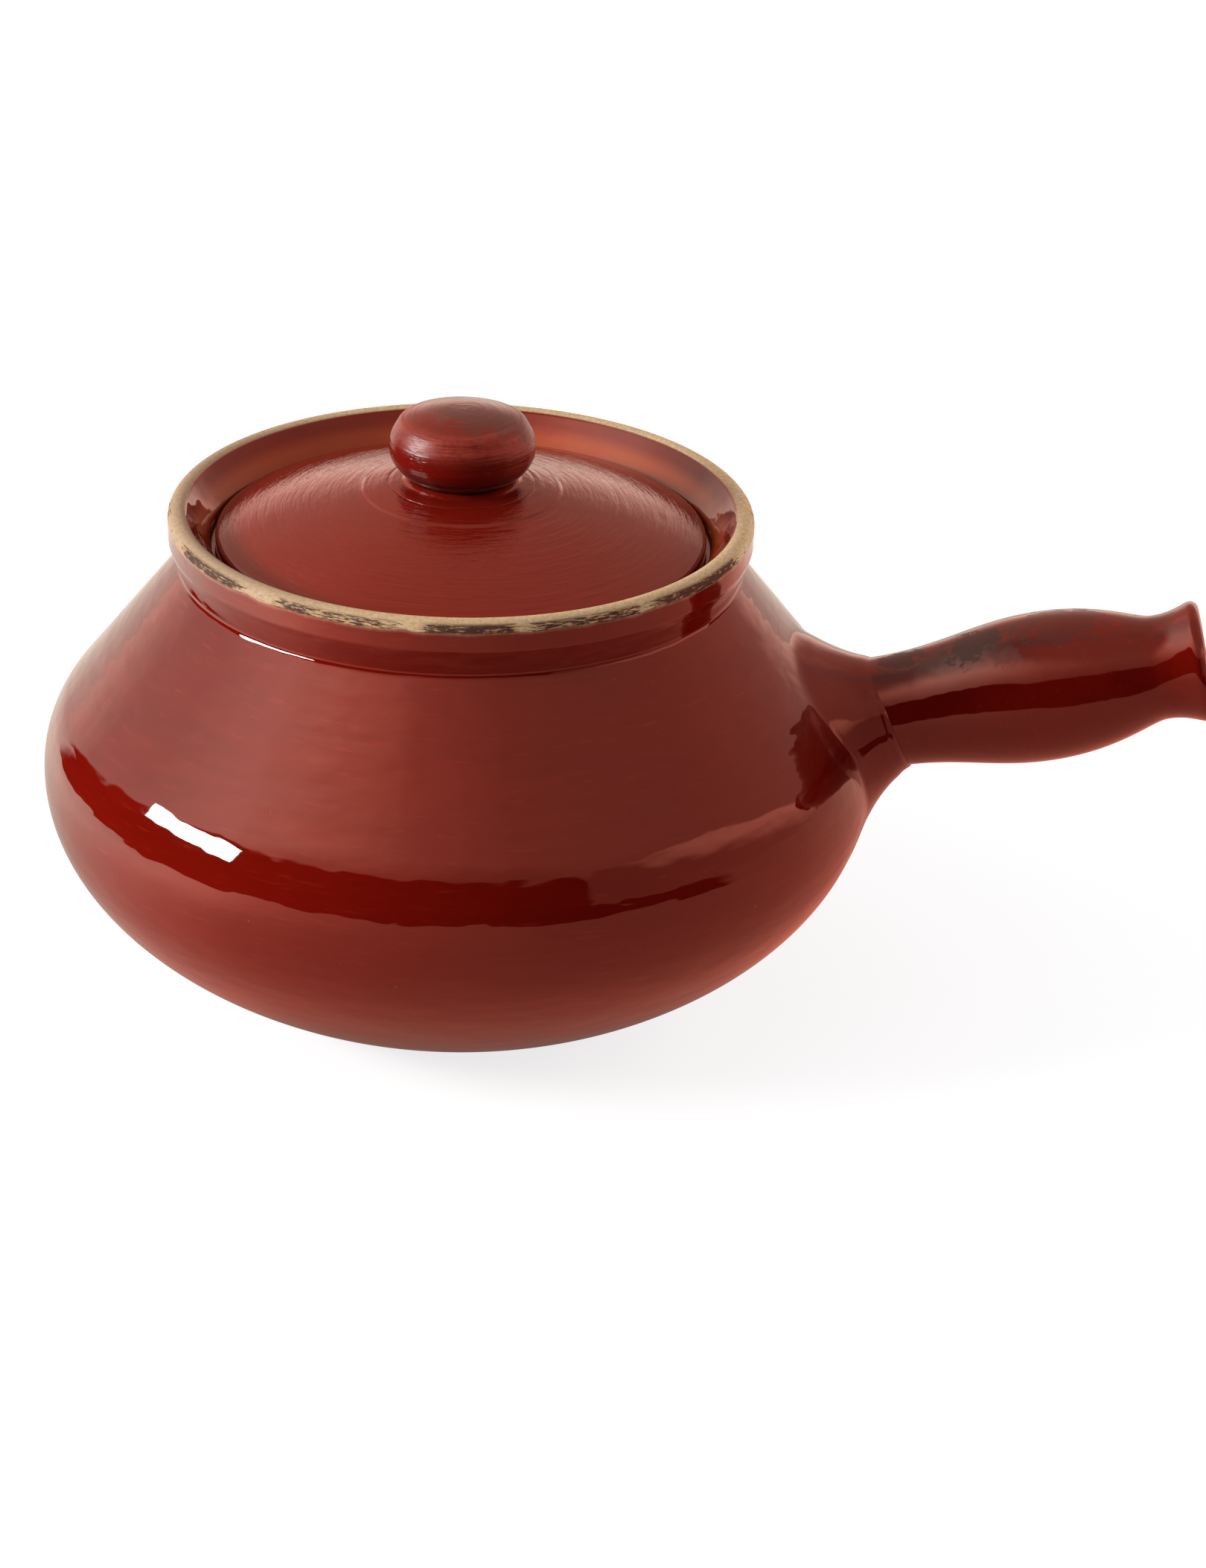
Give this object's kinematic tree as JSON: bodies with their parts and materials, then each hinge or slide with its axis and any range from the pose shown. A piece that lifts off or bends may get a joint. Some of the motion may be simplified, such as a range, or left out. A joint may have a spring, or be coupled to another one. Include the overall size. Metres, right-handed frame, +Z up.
{
  "type": "cooking pot with lid",
  "caption": "Glazed earthenware pot with a wide belly, rolled lip, hollow side handle and a domed lid that sits inside the collar and lifts off by a bun-shaped knob.",
  "frame": {"origin": "centre of the flat foot, on the surface the pot stands on", "axes": "+Z up the pot's axis; +X from the pot's axis towards the handle; +Y completes a right-handed frame"},
  "size_m": [0.3284, 0.2328, 0.1705],
  "materials": {
    "glaze_pot": "glossy dark red lead glaze over red earthenware, bare tan clay on the rolled lip",
    "glaze_handle": "glossy dark red glaze with smoke marks along the top",
    "glaze_lid": "glossy dark red glaze with fine throwing rings",
    "glaze_knob": "glossy dark red glaze, smoked grey on the crown"
  },
  "bodies": {
    "pot": {"pot_body": "glaze_pot", "handle": "glaze_handle", "handle_collar": "glaze_handle"},
    "lid": {"lid": "glaze_lid", "knob": "glaze_knob", "knob_collar": "glaze_lid"}
  },
  "joints": [
    {"name": "lid_lift", "type": "slide", "parent": "pot", "child": "lid", "axis": [0, 0, 1], "range_m": [0, 0.08]}
  ]
}
